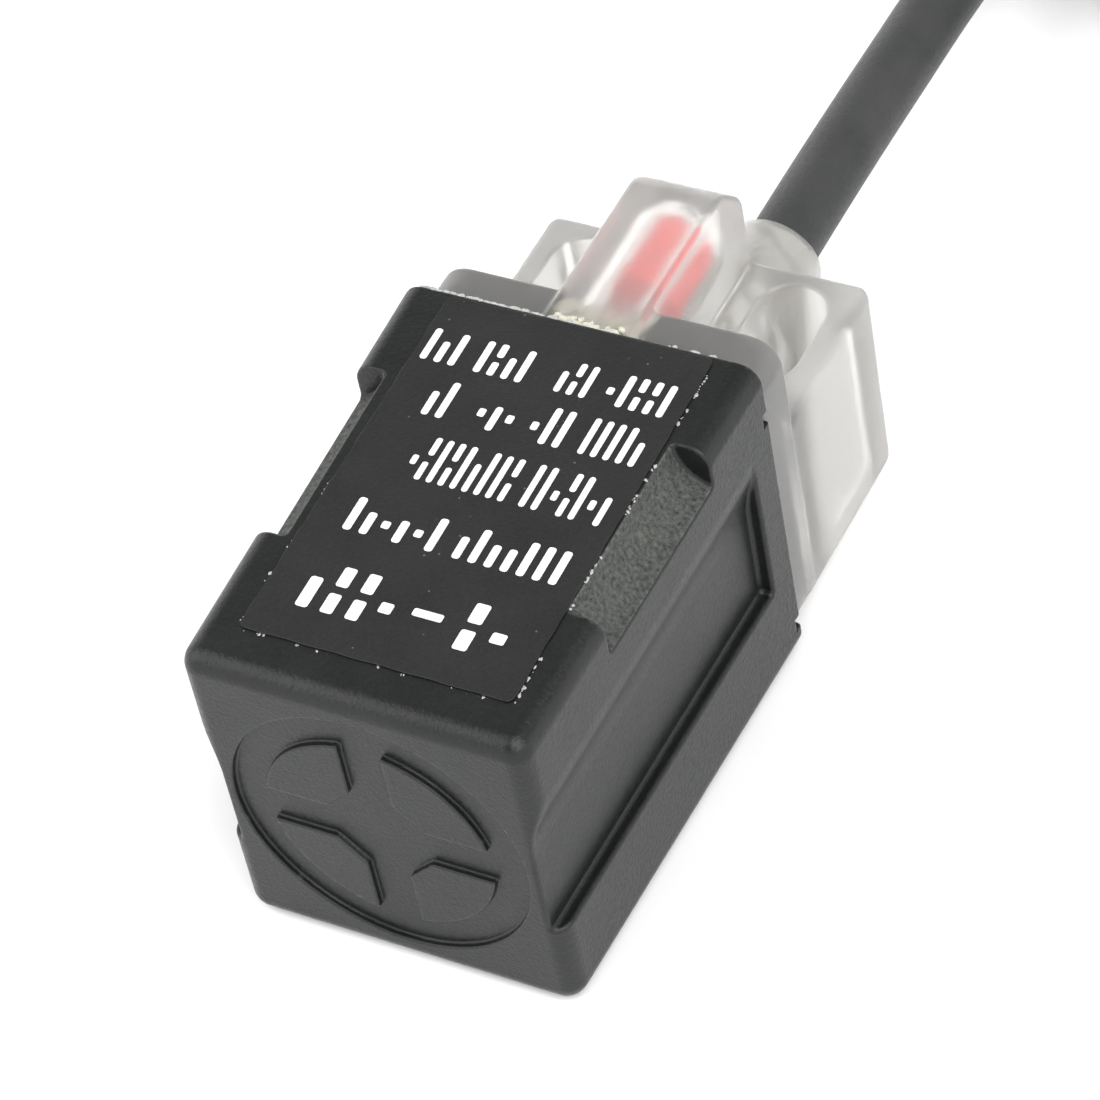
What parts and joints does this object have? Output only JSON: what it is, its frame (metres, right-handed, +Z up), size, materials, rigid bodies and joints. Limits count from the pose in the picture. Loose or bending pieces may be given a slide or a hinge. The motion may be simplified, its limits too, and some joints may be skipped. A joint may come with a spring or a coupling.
{
  "type": "rectangular inductive proximity sensor",
  "caption": "Small rectangular inductive proximity sensor: tapered black housing, clear rear base with mounting slots and LED window, and a round cable ending in stripped wires.",
  "frame": {"origin": "bottom centre of the sensor without its cable, on the surface that it lies on", "axes": "+Z up out of the label side, -Y out of the sensing face, +Y along the cable as it leaves, +X to the right seen from the sensing face"},
  "size_m": [0.0469, 0.1142, 0.0185],
  "materials": {
    "black_plastic": "fine matte moulding",
    "clear_plastic": "clear moulding, slightly frosted",
    "label_film": "black satin film with a pale print",
    "resin": "cast resin",
    "ferrite": "sintered",
    "bobbin_plastic": "moulded",
    "enamelled_copper": "enamelled wire",
    "circuit_board": "solder mask",
    "moulded_epoxy": "moulded",
    "ceramic_chip": "fired ceramic",
    "aluminium_can": "drawn can",
    "red_lens": "clear red epoxy",
    "tinned": "tinned copper",
    "zinc_ring": "plated",
    "cable_jacket": "matte PVC",
    "brown_insulation": "PVC",
    "black_insulation": "PVC",
    "blue_insulation": "PVC",
    "tie_film": "flat PVC twist tie"
  },
  "bodies": {
    "root": {"housing": "black_plastic", "rear_base": "clear_plastic", "label": "label_film", "potting_plug": "resin", "ferrite_core": "ferrite", "coil_bobbin": "bobbin_plastic", "coil_winding": "enamelled_copper", "coil_lead_left": "enamelled_copper", "coil_lead_right": "enamelled_copper", "circuit_board": "circuit_board", "oscillator_chip": "moulded_epoxy", "output_transistor": "moulded_epoxy", "protection_diode": "moulded_epoxy", "supply_capacitor": "aluminium_can", "ceramic_capacitor_left": "ceramic_chip", "ceramic_capacitor_right": "ceramic_chip", "resistor_1": "moulded_epoxy", "resistor_2": "moulded_epoxy", "resistor_3": "moulded_epoxy", "led_body": "red_lens", "led_lead_anode": "tinned", "led_lead_cathode": "tinned", "inner_conductor_brown": "brown_insulation", "inner_conductor_black": "black_insulation", "inner_conductor_blue": "blue_insulation", "cable_inlet": "cable_jacket", "cable_retaining_ring": "zinc_ring", "cable_lead": "cable_jacket", "cable_coil": "cable_jacket", "cable_tail": "cable_jacket", "coil_tie": "tie_film", "stripped_conductor_brown": "brown_insulation", "stripped_conductor_black": "black_insulation", "stripped_conductor_blue": "blue_insulation", "tinned_tip_brown": "tinned", "tinned_tip_black": "tinned", "tinned_tip_blue": "tinned"}
  },
  "joints": []
}
